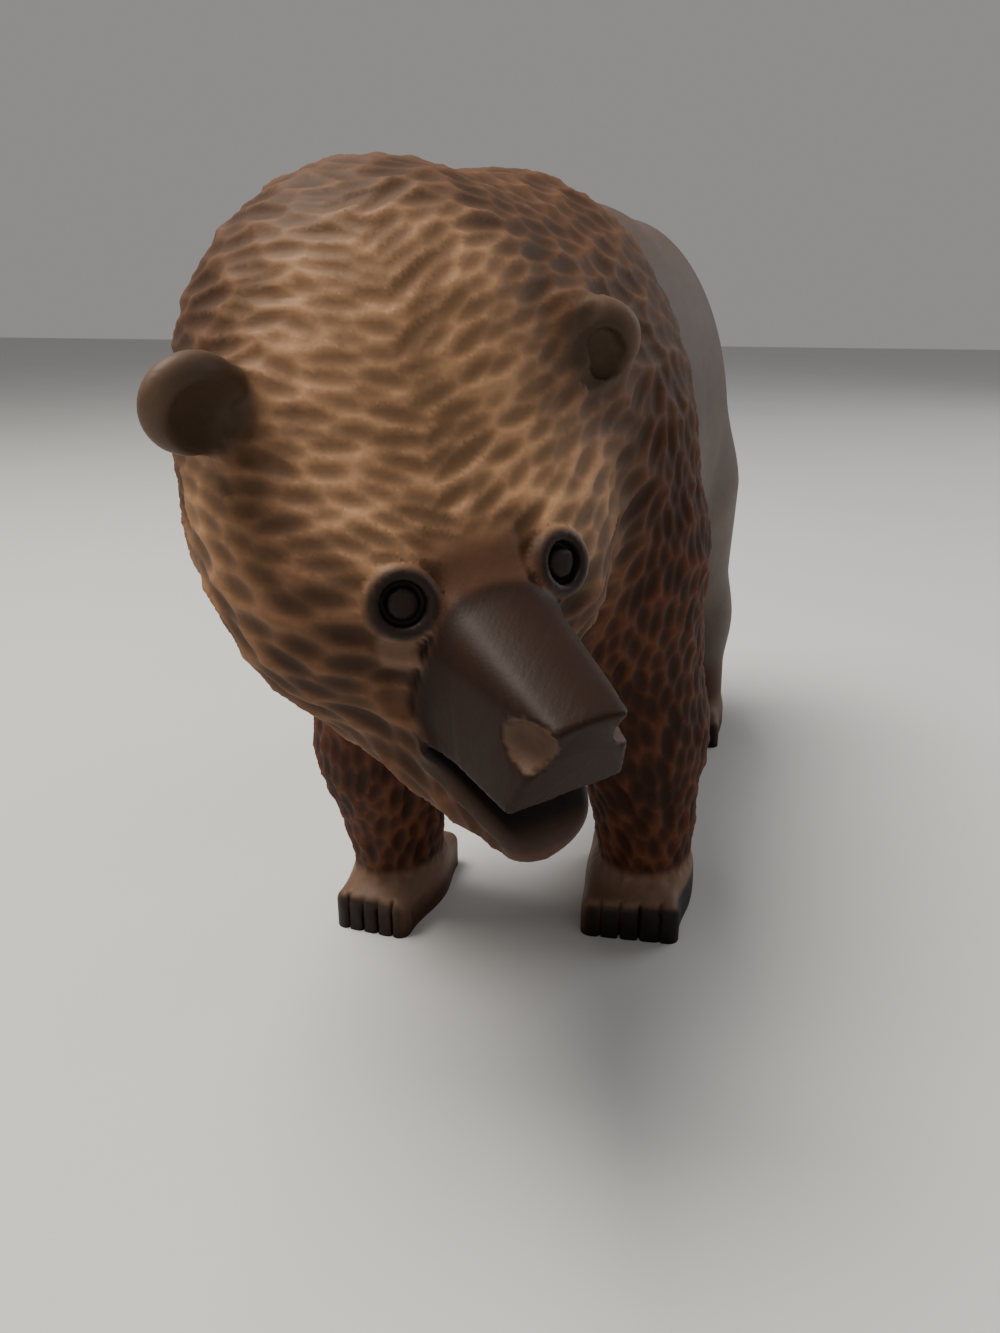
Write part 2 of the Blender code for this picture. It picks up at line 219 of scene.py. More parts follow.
def ear(m):
    """An ear with a hollow face, on the head's left half."""
    face = unit((-0.42, 0.9, -0.1))
    out = unit(np.cross(face, np.cross((0.83, 0.1, 0.5), face)))
    axes = np.stack([out, face, np.cross(out, face)])
    centre = np.array([37.5, 0.5, 25.5])
    lobe = ellipsoid(m, centre, (11, 4.6, 8.6), axes)
    dish = ellipsoid(m, centre + axes[1] * 5.6 - axes[2] * 0.8 - axes[0] * 1.2, (10.4, 5, 7.2), axes)
    return cut(lobe, dish, 0.8)


def muzzle(m):
    """The arched bar of the nose, slanted at its sides and narrower to its flat front."""
    s, f, u = m.T
    half = 15.2 - 0.165 * (f - 30) - 0.17 * (u + 12)
    top = 2 - 0.13 * (f - 30) - s * s * 0.018
    bottom = -22.0 - 0.04 * (f - 41)
    r = 6.5 - 0.12 * (f - 30)
    x, z = s - half + r, u - top + r
    arch = np.sqrt(np.maximum(x, 0) ** 2 + np.maximum(z, 0) ** 2) + np.minimum(np.maximum(x, z), 0) - r
    nose = both(both(arch, bottom - u, 1.5), slope(m, (0, 1, -0.18), 65.8), 1.2)
    return both(nose, 10 - f, 2)


def jaw(m):
    """The wedge of the cheeks and the lower jaw, below the open mouth."""
    f, u = m[:, 1], m[:, 2]
    side = both(slope(m, (0.894, 0.447, 0.12), 30.2), slope(m, (0.93, 0, -0.368), 38), 10)
    bottom = -39 - 0.13 * np.maximum(f - 30, 0) - u
    wedge = both(both(side, bottom, 11), slope(m, JAW_UP, -2.6), 1.5)
    return both(both(wedge, slope(m, (0, 1, -0.1), 65), 4), -5 - f, 8)


EYE_AXIS = unit((0.26, 0.83, 0.5))
EYE_RING = 3.3
EYE_GROOVE = 0.62

# The mouth: how far the palate lies below the head's middle, the way up from the lower jaw, how far out
# its corner is, how much wider it is cut, and the lip's upper edge along that way.
PALATE = 22.4
JAW_UP = (0, 0.43, 0.9)
MOUTH_CORNER = 41.5
MOUTH_GAP = 0.3
LIP_TOP = -6.8

NOSTRIL_AT = (12.0, 65.0, -7.8)
NOSTRIL = (6.6, 8.6, 5.4)


def face(m):
    """The head in its own axes, its two sides alike, before the eyes are cut."""
    s, f, u = m.T
    skull = ellipsoid(m, (0, -2, -3), (40, 37, 38))
    brow = slope(m, (0, 0.631, 0.776), 24.3) + s * s / 220
    cheek = ellipsoid(m, (17, 12, -12), (19.5, 22, 20))
    mass = join(join(both(skull, brow, 10), cheek, 10), jaw(m), 6)
    mass = join(join(mass, muzzle(m), 5), ear(m), 4)
    scoop = ellipsoid(m, NOSTRIL_AT, NOSTRIL)
    mouth = both(both(u + PALATE - MOUTH_GAP, -slope(m, JAW_UP, -2.4), 0.3), MOUTH_CORNER - f, 0.5)
    return cut(cut(mass, scoop, 0.5), mouth, 0.6)


def on_skin(point, axis):
    """Where the axis through a point meets the face."""
    point = np.asarray(point, float)
    for _ in range(12):
        point = point - axis * face(point[None])[0] * 0.8
    return point


EYE_AT = on_skin((15.3, 31.2, 0.3), EYE_AXIS)


def around_eye(m):
    """How far each point lies along the eye's axis, and how far away from it."""
    r = m - EYE_AT
    depth = r @ EYE_AXIS
    return depth, np.sqrt(np.maximum((r * r).sum(1) - depth**2, 0))


def head(p):
    """The head in place, with a lid round each eye and a ring cut in it."""
    q = (p - HEAD_AT) @ HEAD_AXES.T
    m = q.copy()
    m[:, 0] = np.abs(m[:, 0])
    mass = face(m)
    depth, away = around_eye(m)
    lid = np.hypot(away - 4.9, depth + 0.5) - 0.9
    mass = join(mass, lid, 1.6)
    ring = np.maximum(np.abs(away - EYE_RING) - EYE_GROOVE, np.abs(depth - 1) - 2.8)
    return cut(mass, ring, 0.3)


def form(p):
    """The distance to the smooth bear, before the fur is cut."""
    body = join(trunk(p), legs(p), 12)
    chin = HEAD_AT + np.array([0, 35, -26]) @ HEAD_AXES
    throat = limb(p, chin, (-8, -10, 96), 10, 30)
    return join(join(body, throat, 10), head(p), 9)


# Meshing

CORNERS = np.array([[i, j, k] for i in (0, 1) for j in (0, 1) for k in (0, 1)])


def cells_near(field, low, high, size):
    """The cells of a grid that the surface may cross, found by halving a coarse grid."""
    levels = 3
    step = size * 2**levels
    count = np.ceil((high - low) / step).astype(int)
    cells = np.stack(np.meshgrid(*map(np.arange, count), indexing="ij"), -1).reshape(-1, 3)
    for level in range(levels, 0, -1):
        step = size * 2**level
        distance = field(low + (cells + 0.5) * step)
        cells = cells[np.abs(distance) < step * 1.3]
        cells = (cells[:, None] * 2 + CORNERS).reshape(-1, 3)
    return cells


EDGES = [(a, b) for a in range(8) for b in range(a, 8) if np.abs(CORNERS[a] - CORNERS[b]).sum() == 1]


def sheets(inside):
    """For each edge of a cell, which of the cell's surface sheets crosses it, or -1."""
    group = {e: e for e, (a, b) in enumerate(EDGES) if inside[a] != inside[b]}
    for axis in range(3):
        for end in (0, 1):
            corners = [c for c in range(8) if CORNERS[c][axis] == end]
            rim = [e for e in group if set(EDGES[e]) <= set(corners)]
            pairs = [[e for e in rim if c in EDGES[e]] for c in corners if inside[c]]
            pairs = [rim] if len(rim) == 2 else pairs
            for pair in pairs:
                if len(pair) == 2:
                    old, new = group[pair[0]], group[pair[1]]
                    group = {e: new if g == old else g for e, g in group.items()}
    names = sorted(set(group.values()))
    return [names.index(group[e]) if e in group else -1 for e in range(12)]


def surface(field, low, high, size):
    """Points and quads of the surface where field is zero: a point for each sheet in each crossed cell."""
    cells = cells_near(field, low, high, size)
    span = 1 << 12
    key = lambda c: (c[..., 0] * span + c[..., 1]) * span + c[..., 2]
    corner = key(cells[:, None] + CORNERS)
    ids, index = np.unique(corner, return_inverse=True)
    places = np.stack([ids // span // span, ids // span % span, ids % span], -1)
    values = field(low + places * size)[index.reshape(-1, 8)]
    inside = values < 0
    crossed = inside.any(1) & ~inside.all(1)
    cells, values, inside = cells[crossed], values[crossed], inside[crossed]
    order = np.argsort(key(cells))
    cells, values, inside = cells[order], values[order], inside[order]
    kinds, kind = np.unique(inside @ (1 << np.arange(8)), return_inverse=True)
    table = np.array([sheets([bool(k >> c & 1) for c in range(8)]) for k in kinds.tolist()])
    label = table[kind.reshape(-1)]
    count = label.max(1) + 1
    point_of = (np.cumsum(count) - count)[:, None] + label
    total = np.zeros((count.sum(), 3))
    hits = np.zeros(count.sum())
    for e, (a, b) in enumerate(EDGES):
        on = np.flatnonzero(label[:, e] >= 0)
        t = values[on, a] / (values[on, a] - values[on, b])
        total[point_of[on, e]] += cells[on] + CORNERS[a] + t[:, None] * (CORNERS[b] - CORNERS[a])
        hits[point_of[on, e]] += 1
    points = low + total / hits[:, None] * size
    keys = key(cells)
    quads = []
    for axis in range(3):
        one, two = np.eye(3, dtype=int)[[(axis + 1) % 3, (axis + 2) % 3]]
        along = np.eye(3, dtype=int)[axis]
        on = np.flatnonzero(inside[:, 0] != inside[:, int(along @ [4, 2, 1])])
        quad = []
        for back in (0 * one, one, one + two, two):
            start = int(back @ [4, 2, 1])
            edge = EDGES.index((start, start + int(along @ [4, 2, 1])))
            quad.append(point_of[np.searchsorted(keys, key(cells[on] - back)), edge])
        quad = np.stack(quad, 1)
        quad[inside[on, 0]] = quad[inside[on, 0], ::-1]
        quads.append(quad[:, ::-1])
    return points, np.concatenate(quads)


TETRA = np.array([[1, -1, -1], [-1, -1, 1], [-1, 1, -1], [1, 1, 1]], float)


def gradient(field, points, step=0.3):
    total = sum(v * field(points + v * step)[:, None] for v in TETRA)
    return total / (4 * step)


def settle(field, points):
    """The points moved onto the surface."""
    for _ in range(2):
        g = gradient(field, points)
        points = points - field(points)[:, None] * g / np.maximum((g * g).sum(1), 0.2)[:, None]
    return points


LOW = np.array([-72.0, -120.0, -16.5])
HIGH = np.array([72.0, 210.0, 205.0])


# Carving

MANE_STEP = 1.2

# The gouge cuts' usual spacing, length and depth.
SPACING = 3.1
LENGTH = 10.5
DEPTH = 0.65

# A cut's half length and half width as shares of those, and how far off the next one along it keeps.
HALF_LENGTH = 0.74
HALF_WIDTH = 0.9
KEEP_OFF = 0.78

# How far the cuts stray from their run, in radians, how uneven they are, and how many places are tried.
STRAY = 0.1
UNEVEN = 0.14
MOST_TRIES = 60000


def mane(p):
    """1 ahead of the line behind the shoulder where the fur ends, 0 behind it."""
    line = 36 + 26 * ramp(-p[:, 2], -80, -60) + 1.5 * np.sin(p[:, 2] * 0.21)
    return ramp(line - p[:, 1], -1, 1)


def bare(p):
    """1 where the face and the feet are left smooth."""
    m = (p - HEAD_AT) @ HEAD_AXES.T
    m[:, 0] = np.abs(m[:, 0])
    s, f, u = m.T
    nose = ramp(1.4 - muzzle(m), 0, 0.8) * ramp(f, 32, 36)
    lip = ramp(slope(m, JAW_UP, LIP_TOP), 0, 1) * ramp(f, 40, 43) + ramp(f, 58, 60)
    eye = ramp(7.4 - np.linalg.norm(m - EYE_AT, axis=1), 0, 1)
    lobe = ramp(1.2 - ear(m), 0, 0.8)
    bridge = ramp(f, 25, 31) * ramp(9 - s, 0, 3) * ramp(u, -8, -4)
    feet = ramp(-p[:, 2], -15, -12)
    return np.clip(np.max([nose, lip, eye, lobe, bridge, feet], axis=0), 0, 1)


def furred(p):
    """1 where the fur is cut, 0 where the wood is smooth."""
    return mane(p) * (1 - bare(p))


def tangent(vector, normals):
    """The unit direction of a vector along the surface."""
    flat = vector - normals * (vector * normals).sum(1)[:, None]
    return flat / np.maximum(np.linalg.norm(flat, axis=1), 1e-6)[:, None]


def flow(p, normals):
    """The run of the gouge at each point, and its spacing, length and depth there."""
    q = (p - HEAD_AT) @ HEAD_AXES.T
    s, f, u = q.T
    x, y, z = p.T
    on_head = 1 - ramp(np.linalg.norm(p - HEAD_AT, axis=1), 46, 66)
    h = on_head[:, None]
    back = h * -HEAD_AXES[1] + (1 - h) * np.array([0, 1, 0])
    left = h * HEAD_AXES[0] + (1 - h) * np.array([1, 0, 0])
    side = np.sign(on_head * (s + 3) + (1 - on_head) * (x + 10))
    herringbone = tangent(left * (side * 0.82)[:, None] + back * 0.42 + [0, 0, 0.12], normals)
    down = tangent(np.stack([side * 0.25, 0 * x, -np.ones(len(p))], 1), normals)
    hang = (1 - on_head) * ramp(np.abs(x + 3), 20, 34) * ramp(-z, -165, -140)
    hang = np.maximum(hang, ramp(-z, -105, -85) * (1 - on_head))[:, None]
    down *= np.sign((down * herringbone).sum(1))[:, None]
    run = tangent(herringbone * (1 - hang) + down * hang, normals)
    hang = hang[:, 0]
    front = on_head * ramp(u, 2, 12) * ramp(30 - np.abs(s), 0, 8)
    cheek = on_head * ramp(-u, -8, 2)
    dimple = (1 - on_head) * ramp(x, -4, 8) * ramp(z, 150, 165)
    spacing = SPACING - 0.5 * front + 0.8 * cheek + 0.6 * (1 - on_head) * (1 - hang) + 0.5 * dimple
    length = LENGTH - 1.5 * front + cheek - 4 * dimple - 2.5 * hang
    depth = DEPTH - 0.2 * front + 0.15 * cheek
    return run, spacing, length, depth


def strokes(points, normals, rng):
    """Gouge cuts over the fur: places, runs, width axes, normals, and half lengths, half widths, depths."""
    allowed = np.flatnonzero(furred(points) > 0.5)
    tries = rng.permutation(allowed)[:MOST_TRIES]
    points, normals = points[tries], normals[tries]
    run, spacing, length, depth = flow(points, normals)
    spin = rng.normal(0, STRAY, len(tries))[:, None]
    run = run * np.cos(spin) + np.cross(normals, run) * np.sin(spin)
    across = np.cross(normals, run)
    vary = np.exp(rng.normal(0, UNEVEN, len(tries)))
    length = length * vary
    cell = np.floor(points / STROKE_CELL).astype(int)
    taken = {}
    kept = []
    for i in range(len(tries)):
        near = []
        for step in NEIGHBOURS:
            near += taken.get(tuple(cell[i] + step), ())
        if near:
            gap = points[i] - points[near]
            along = (gap * run[near]).sum(1) / (KEEP_OFF * length[near])
            aside = (gap * across[near]).sum(1) / spacing[near]
            if (along**2 + aside**2 < 1).any():
                continue
        taken.setdefault(tuple(cell[i]), []).append(i)
        kept.append(i)
    kept = np.array(kept)
    half = np.stack([HALF_LENGTH * length, HALF_WIDTH * spacing, depth * DEEPEN * vary], 1)
    return points[kept], run[kept], across[kept], normals[kept], half[kept]


STROKE_CELL = 9
CELL_SHIFT = 100
CELL_SPAN = 1000
NEIGHBOURS = [np.array([i, j, k]) for i in (-1, 0, 1) for j in (-1, 0, 1) for k in (-1, 0, 1)]


def relief(points, normals, cuts):
    """How deep the gouge cuts go at each point."""
    reach = max(cuts[4][:, 0])
    cell = np.floor(points / reach).astype(int) + CELL_SHIFT
    key = (cell[:, 0] * CELL_SPAN + cell[:, 1]) * CELL_SPAN + cell[:, 2]
    order = np.argsort(key, kind="stable")
    ids, start = np.unique(key[order], return_index=True)
    ends = dict(zip(ids.tolist(), zip(start.tolist(), [*start[1:].tolist(), len(order)])))
    deep = np.zeros(len(points))
    for place, run, across, normal, (a, w, d) in zip(*cuts):
        home = np.floor(place / reach).astype(int) + CELL_SHIFT
        around = home + NEIGHBOURS
        spans = [ends.get(int((c[0] * CELL_SPAN + c[1]) * CELL_SPAN + c[2])) for c in around]
        near = np.concatenate([order[one[0] : one[1]] for one in spans if one])
        gap = points[near] - place
        profile = 1 - (gap @ run / a) ** 2 - (gap @ across / w) ** 2
        fits = (profile > 0) & (normals[near] @ normal > 0.2) & (np.abs(gap @ normal) < 3)
        near, profile = near[fits], profile[fits]
        deep[near] = np.maximum(deep[near], d * profile)
    return deep


def raised(p):
    """How far the fur of the shoulders and neck stands above the smooth back."""
    return MANE_STEP * mane(p) * ramp(p[:, 1], -15, 10) * ramp(p[:, 2], 14, 40)


def carved(grid):
    """Points and quads of the bear with its fur cut, in millimetres."""
    rng = np.random.default_rng(SEED)
    points, quads = surface(form, LOW, HIGH, grid)
    points = settle(form, points)
    normals = gradient(form, points)
    normals /= np.linalg.norm(normals, axis=1)[:, None]
    cuts = strokes(points, normals, rng)
    depth = relief(points, normals, cuts) * furred(points)
    return points + normals * (raised(points) - depth)[:, None], quads


# The piece


def fine_mesh(points, quads):
    """The carved surface as a mesh of few enough triangles, still in millimetres."""
    mesh = bpy.data.meshes.new("dense")
    faces = np.concatenate([quads[:, [0, 1, 2]], quads[:, [0, 2, 3]]])
    mesh.from_pydata(points.tolist(), [], faces.tolist())
    dense = bpy.data.objects.new("dense", mesh)
    bpy.context.scene.collection.objects.link(dense)
    fewer = dense.modifiers.new("fewer", "DECIMATE")
    fewer.ratio = min(1, TRIANGLES / (2 * len(quads)))
    graph = bpy.context.evaluated_depsgraph_get()
    thin = bpy.data.meshes.new_from_object(dense.evaluated_get(graph))
    bpy.data.objects.remove(dense)
    bpy.data.meshes.remove(mesh)
    return thin


def cut_soles(mesh):
    """Cuts the feet level with the floor."""
    shape = bmesh.new()
    shape.from_mesh(mesh)
    everything = [*shape.verts, *shape.edges, *shape.faces]
    level = {"plane_co": (0, 0, 0), "plane_no": (0, 0, -1)}
    bmesh.ops.bisect_plane(shape, geom=everything, clear_outer=True, **level)
    bmesh.ops.holes_fill(shape, edges=[edge for edge in shape.edges if edge.is_boundary], sides=0)
    bmesh.ops.triangulate(shape, faces=[face for face in shape.faces if len(face.verts) > 3])
    bmesh.ops.recalc_face_normals(shape, faces=shape.faces)
    shape.to_mesh(mesh)
    shape.free()


def places(mesh):
    """The mesh's points as an array."""
    flat = np.empty(len(mesh.vertices) * 3, np.float32)
    mesh.vertices.foreach_get("co", flat)
    return flat.reshape(-1, 3).astype(float)


# Colours of the stained wood; the near-black also stands for painted shade and the grey-brown for painted
# sheen.
GOLDEN = np.array([0.290, 0.162, 0.086])
BROWN = np.array([0.070, 0.034, 0.018])
RUSSET = np.array([0.062, 0.026, 0.014])
MAHOGANY = np.array([0.044, 0.014, 0.006])
CHOCOLATE = np.array([0.016, 0.0060, 0.0030])
EAR = np.array([0.098, 0.060, 0.038])
# Grey-brown of the smooth polished rump, partly the wood and partly painted sheen.
GREY_BROWN_AND_SHEEN = np.array([0.082, 0.058, 0.046])
RAW = np.array([0.17, 0.10, 0.066])
# Near-black for the eye ring and dark claws, and painted shade in the mouth and on the toe faces.
NEAR_BLACK_AND_SHADE = np.array([0.006, 0.004, 0.0035])
EYE = np.array([0.016, 0.009, 0.007])

# How much lighter the ridges between the cuts are, partly rubbed wood and partly painted highlight, and how
# much darker the cuts, painted shade.
RIDGE_WEAR_AND_HIGHLIGHT = 0.95
CUT_SHADE = 0.5

# Middles of spots of colour in the head's own axes. The ear's stands for both ears.
CHEEK_AT = np.array([-33, 4, -8])
JOWL_AT = np.array([-36, -2, 8])
TEMPLE_AT = np.array([26, 22, 8])
EAR_DISH_AT = np.array([37.0, 2.0, 25.5])
CHEEK_CHIP_AT = np.array([-16.2, 35.6, -6.4])


def blot(p, centre, radius, soft):
    """1 within radius of the centre, falling to 0 over the next soft millimetres."""
    return ramp(radius - np.linalg.norm(p - centre, axis=1), -soft, 0)


def mixed(colour, other, share):
    return colour + (other - colour) * np.clip(share, 0, 1)[:, None]


def fur_stain(p, q):
    """Golden brow, cheeks and temple on brown, and a red-brown flank and legs."""
    s, f, u = q.T
    x, _, z = p.T
    on_head = 1 - ramp(np.linalg.norm(p - HEAD_AT, axis=1), 44, 62)
    flank = (1 - on_head) * ramp(x, 4, 30) * ramp(-z, -165, -120)
    low = (1 - on_head) * ramp(-z, -95, -60)
    brow = on_head * ramp(u, -6, 16) * ramp(34 - np.abs(s + 2), 0, 20) * ramp(f, -32, 2)
    cheek = on_head * (blot(q, CHEEK_AT, 9, 14) + blot(q, JOWL_AT, 5, 12))
    temple = blot(q, TEMPLE_AT, 8, 14)
    colour = np.tile(BROWN, (len(p), 1))
    colour = mixed(colour, MAHOGANY, np.maximum(flank, low))
    for share in (brow * 0.8, cheek * 0.3, temple * 0.6):
        colour = mixed(colour, GOLDEN, share)
    return colour


def wear_highlight_and_shade(colour, p, deep, fur):
    """The colour lighter on the ridges, partly rubbed wood and partly painted highlight, and darker in the
    cuts with painted shade, less so towards the top.
    """
    ridge = 1 - ramp(deep, 0.35, 0.68)
    valley = ramp(deep, 0.62, 0.95)
    contrast = fur * (1 - 0.5 * ramp(p[:, 2], 105, 155))
    return colour * (1 + contrast * (RIDGE_WEAR_AND_HIGHLIGHT * ridge - CUT_SHADE * valley))[:, None]


def face_colours_and_mouth_shade(q, m, colour):
    """The dark bridge, muzzle, ears and lip, the raw chip and nostrils, and painted shade in the mouth's
    gap.
    """
    s, f, u = q.T
    bridge = ramp(f, 20, 28) * ramp(15 - np.abs(s), 0, 5) * ramp(13 - u, 0, 8)
    nose = ramp(1.2 - muzzle(m), 0, 0.8) * ramp(f, 30, 35)
    dish = blot(m, EAR_DISH_AT, 7.5, 3)
    lobe = np.maximum(ramp(1.0 - ear(m), 0, 0.8), dish)
    lip = ramp(slope(m, JAW_UP, LIP_TOP), 0, 1) * ramp(f, 38, 44) * (1 - nose)
    chip = blot(q, CHEEK_CHIP_AT, 4.2, 1.8) * (1 - nose)
    nostril = ramp(0.15 - ellipsoid(m, NOSTRIL_AT, NOSTRIL), 0, 0.3) * ramp(f, 52, 55)
    # Painted shade in the mouth's narrow gap.
    gap = both(u + PALATE - MOUTH_GAP - 0.3, -slope(m, JAW_UP, -2.7), 0.3)
    mouth = ramp(0.4 - gap, 0, 0.6) * ramp(f, 36, 42)
    layers = [
        (RUSSET, bridge * 0.85),
        (CHOCOLATE, nose),
        (EAR, lobe),
        (EAR * 0.55, dish),
        (RUSSET * 0.45, lip * 0.9),
        (RAW, chip * 0.85),
        (RAW, nostril),
        (NEAR_BLACK_AND_SHADE, mouth),
    ]
    for other, share in layers:
        colour = mixed(colour, other, share)
    return colour


def eye_stain(m, colour):
    """Dark eyes with a near-black ring."""
    depth, away = around_eye(m)
    near = ramp(8 - np.abs(depth), 0, 2)
    colour = mixed(colour, EYE, ramp(6.8 - away, 0, 1.4) * near)
    return mixed(colour, NEAR_BLACK_AND_SHADE, ramp(0.9 - np.abs(away - EYE_RING), 0, 0.5) * near)


def toe_darks_and_shadow(p, colour):
    """The toe faces and the cuts between the toes painted near-black, partly dark claws and partly painted
    shadow, less so on the right feet.
    """
    for *_, toe, turn, width, _ in LEGS:
        x, y, z = ((p - [*toe, 0]) @ foot_axes(turn).T).T
        here = ramp(width * 0.62 - np.abs(x), 0, 2) * ramp(y + 6, 0, 2)
        # Painted shadow with the dark claws: full on the left feet, whose toe fronts lie in shade, less on
        # the right.
        dark_and_shadow_share = 1.0 if toe[0] > 0 else 0.7
        front = ramp(y + 1.2, 0, 1.2) * ramp(FOOT_HEIGHT - z, 0, 1.5)
        colour = mixed(colour, NEAR_BLACK_AND_SHADE * 2, dark_and_shadow_share * here * front)
    return colour


def stain_and_painted_light(p, deep, fur):
    """The stain's colour at each point, with painted highlight, shade and sheen in it."""
    q = (p - HEAD_AT) @ HEAD_AXES.T
    m = q.copy()
    m[:, 0] = np.abs(m[:, 0])
    z = p[:, 2]
    behind = 1 - mane(p)
    # Lighter ridges, partly wear and partly painted highlight; darker cuts, painted shade.
    colour = wear_highlight_and_shade(fur_stain(p, q), p, deep, fur)
    # The smooth rear grey-brown, partly painted sheen.
    colour = mixed(colour, GREY_BROWN_AND_SHEEN, behind * ramp(z, 26, 40))
    colour = eye_stain(m, face_colours_and_mouth_shade(q, m, colour))
    foot = ramp(18 - z, 0, 4) * ramp(z, 6, 9)
    colour = mixed(colour, RAW * 0.8, foot * (1 - behind * 0.5))
    return toe_darks_and_shadow(p, colour)


def set_attribute(mesh, name, kind, values):
    layer = mesh.attributes.new(name, kind, "POINT")
    layer.data.foreach_set("color" if kind == "FLOAT_COLOR" else "value", values.astype(np.float32).ravel())


def carved_bear(material):
    """The whole bear as one mesh, brought to the solid's own box."""
    points, quads = carved(GRID)
    mesh = fine_mesh(points, quads)
    cut_soles(mesh)
    p = places(mesh)
    deep = np.clip((raised(p) - form(p)) / (flow(p, np.zeros(p.shape))[3] * DEEPEN), 0, 1.3)
    fur = furred(p)
    colour = stain_and_painted_light(p, deep, fur)
    set_attribute(mesh, "stain_and_painted_light", "FLOAT_COLOR", np.concatenate([colour, np.ones((len(p), 1))], 1))
    set_attribute(mesh, "polish", "FLOAT", 1 - fur)
    middle = (p.min(0) + p.max(0)) / 2
    low, high = (np.array(corner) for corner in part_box("bear"))
    p = (p - [middle[0], middle[1], 0]) * ((high - low) / np.ptp(p, axis=0))
    mesh.vertices.foreach_set("co", p.astype(np.float32).ravel())
    mesh.shade_smooth()
    mesh.update()
    mesh.name = "carved_bear"
    bear = bpy.data.objects.new("carved_bear", mesh)
    bpy.context.scene.collection.objects.link(bear)
    mesh.materials.clear()
    mesh.materials.append(material)
    return bear


# Materials


class Nodes:
    """A short way to add and link shader nodes."""

    def __init__(self, name):
        self.material = bpy.data.materials.new(name)
        self.material.use_nodes = True
        self.tree = self.material.node_tree
        self.shader = self.tree.nodes["Principled BSDF"]

    def add(self, kind, inputs=(), **settings):
        node = self.tree.nodes.new(kind)
        for key, value in settings.items():
            setattr(node, key, value)
        for key, value in dict(inputs).items():
            if isinstance(value, bpy.types.NodeSocket):
                self.tree.links.new(value, node.inputs[key])
            else:
                node.inputs[key].default_value = value
        return node

    def attribute(self, name, output):
        return self.add("ShaderNodeAttribute", attribute_name=name).outputs[output]

    def noise(self, scale, stretch, detail=4.0):
        """Noise of scale features to the metre, drawn out along the axes by stretch."""
        coordinates = self.add("ShaderNodeTexCoord").outputs["Object"]
        mapping = self.add("ShaderNodeMapping", {"Vector": coordinates, "Scale": stretch})
        settings = {"Vector": mapping.outputs[0], "Scale": scale, "Detail": detail, "Roughness": 0.6}
        return self.add("ShaderNodeTexNoise", settings).outputs["Fac"]

    def spread(self, value, low, high):
        """A value from 0..1 turned to low..high."""
        return self.add("ShaderNodeMapRange", {"Value": value, 3: low, 4: high}).outputs[0]

    def times(self, a, b):
        return self.add("ShaderNodeMath", {0: a, 1: b}, operation="MULTIPLY").outputs[0]

    def plus(self, a, b):
        return self.add("ShaderNodeMath", {0: a, 1: b}, operation="ADD").outputs[0]

    def scaled(self, colour, value):
        """A colour made lighter or darker by a value."""
        return self.add("ShaderNodeVectorMath", {0: colour, "Scale": value}, operation="SCALE").outputs[0]


def stained_wood():
    """Stained wood: the points' colour, its painted highlight, shade and sheen included, under cloudy
    stain, grain along the body and small flecks.
    """
    n = Nodes("stained_wood")
    cloud = n.spread(n.noise(28, (1, 1, 1), 3), 0.72, 1.3)
    grain = n.spread(n.noise(420, (1, 0.07, 0.35)), 0.82, 1.18)
    fleck = n.spread(n.noise(900, (1, 0.25, 1), 2), 0.9, 1.1)
    shade = n.times(n.times(cloud, grain), fleck)
    colour = n.scaled(n.attribute("stain_and_painted_light", "Color"), shade)
    polish = n.attribute("polish", "Fac")
    rough = n.spread(polish, 0.7, 0.54)
    rough = n.plus(rough, n.spread(n.noise(160, (1, 0.4, 1)), -0.06, 0.06))
    height = n.plus(n.noise(700, (1, 0.1, 0.4)), n.times(n.noise(1500, (1, 1, 1), 2), 0.5))
    bump = n.add("ShaderNodeBump", {"Height": height, "Strength": 0.25, "Distance": 0.0003})
    links = n.tree.links
    links.new(colour, n.shader.inputs["Base Color"])
    links.new(rough, n.shader.inputs["Roughness"])
    links.new(bump.outputs[0], n.shader.inputs["Normal"])
    n.shader.inputs["Specular IOR Level"].default_value = 0.16
    n.shader.inputs["Coat Weight"].default_value = 0.03
    n.shader.inputs["Coat Roughness"].default_value = 0.35
    return n.material


def plain_floor():
    n = Nodes("floor")
    shade = n.spread(n.noise(6, (1, 1, 1), 2), 0.55, 0.6)
    colour = n.add("ShaderNodeCombineColor", {0: shade, 1: shade, 2: shade}).outputs[0]
    n.tree.links.new(colour, n.shader.inputs["Base Color"])
    n.shader.inputs["Roughness"].default_value = 0.85
    return n.material


# Floor, light and camera

FLOOR_HALF = 4


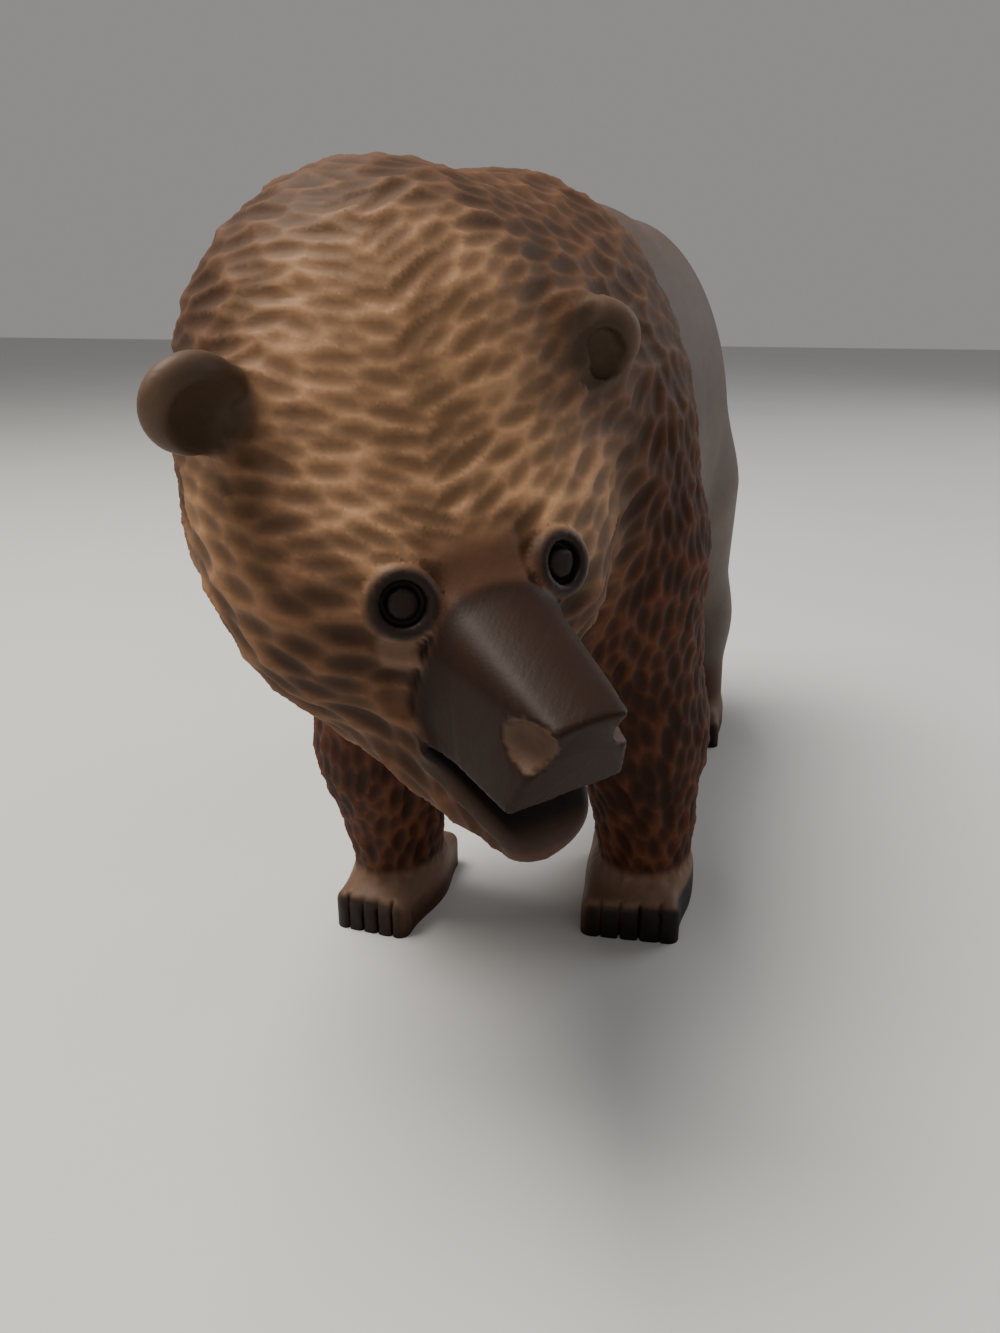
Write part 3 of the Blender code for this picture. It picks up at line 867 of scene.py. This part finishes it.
def floor():
    mesh = bpy.data.meshes.new("floor")
    corners = [(x * FLOOR_HALF, y * FLOOR_HALF, 0) for x, y in ((-1, -1), (1, -1), (1, 1), (-1, 1))]
    mesh.from_pydata(corners, [], [(0, 1, 2, 3)])
    ground = bpy.data.objects.new("floor", mesh)
    bpy.context.scene.collection.objects.link(ground)
    mesh.materials.append(plain_floor())


def lamp(name, place, target, size, watts, colour):
    light = bpy.data.lights.new(name, "AREA")
    light.size = size
    light.energy = watts
    light.color = colour
    holder = bpy.data.objects.new(name, light)
    holder.location = place
    holder.rotation_euler = (Vector(target) - Vector(place)).to_track_quat("-Z", "Y").to_euler()
    bpy.context.scene.collection.objects.link(holder)


def world():
    sky = bpy.data.worlds.new("room")
    sky.use_nodes = True
    back = sky.node_tree.nodes["Background"]
    back.inputs["Color"].default_value = (0.95, 0.93, 0.9, 1)
    back.inputs["Strength"].default_value = 0.3
    bpy.context.scene.world = sky


# Where the camera stands, its right and the way it looks.
CAMERA_AT = (0.0760, -0.2780, 0.1652)
CAMERA_RIGHT = Vector((0.95106, 0.30902, 0))
CAMERA_AHEAD = Vector((-0.29038, 0.89370, -0.34202))
LENS_MM = 27.0
SENSOR_MM = 36


def camera():
    lens = bpy.data.cameras.new("camera")
    lens.lens = LENS_MM
    lens.sensor_width = SENSOR_MM
    lens.clip_start = 0.01
    holder = bpy.data.objects.new("camera", lens)
    bpy.context.scene.collection.objects.link(holder)
    up = CAMERA_RIGHT.cross(CAMERA_AHEAD)
    axes = Matrix((CAMERA_RIGHT, up, -CAMERA_AHEAD)).transposed()
    holder.matrix_world = Matrix.LocRotScale(Vector(CAMERA_AT), axes.to_quaternion(), None)
    bpy.context.scene.camera = holder


def main():
    for old in list(bpy.data.objects):
        bpy.data.objects.remove(old)
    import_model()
    bear = carved_bear(stained_wood())
    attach(bear, "root")
    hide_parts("bear")
    floor()
    world()
    lamp("ceiling", (-0.4, -0.15, 1.15), (0, -0.05, 0.1), 0.7, 24, (1.0, 0.94, 0.85))
    lamp("window", (1.1, 1.1, 0.7), (0, 0.1, 0.1), 0.9, 8, (0.97, 0.97, 1.0))
    lamp("fill", (0.5, -1.3, 0.5), (0, 0, 0.1), 1.2, 2, (1.0, 0.95, 0.88))
    camera()


main()
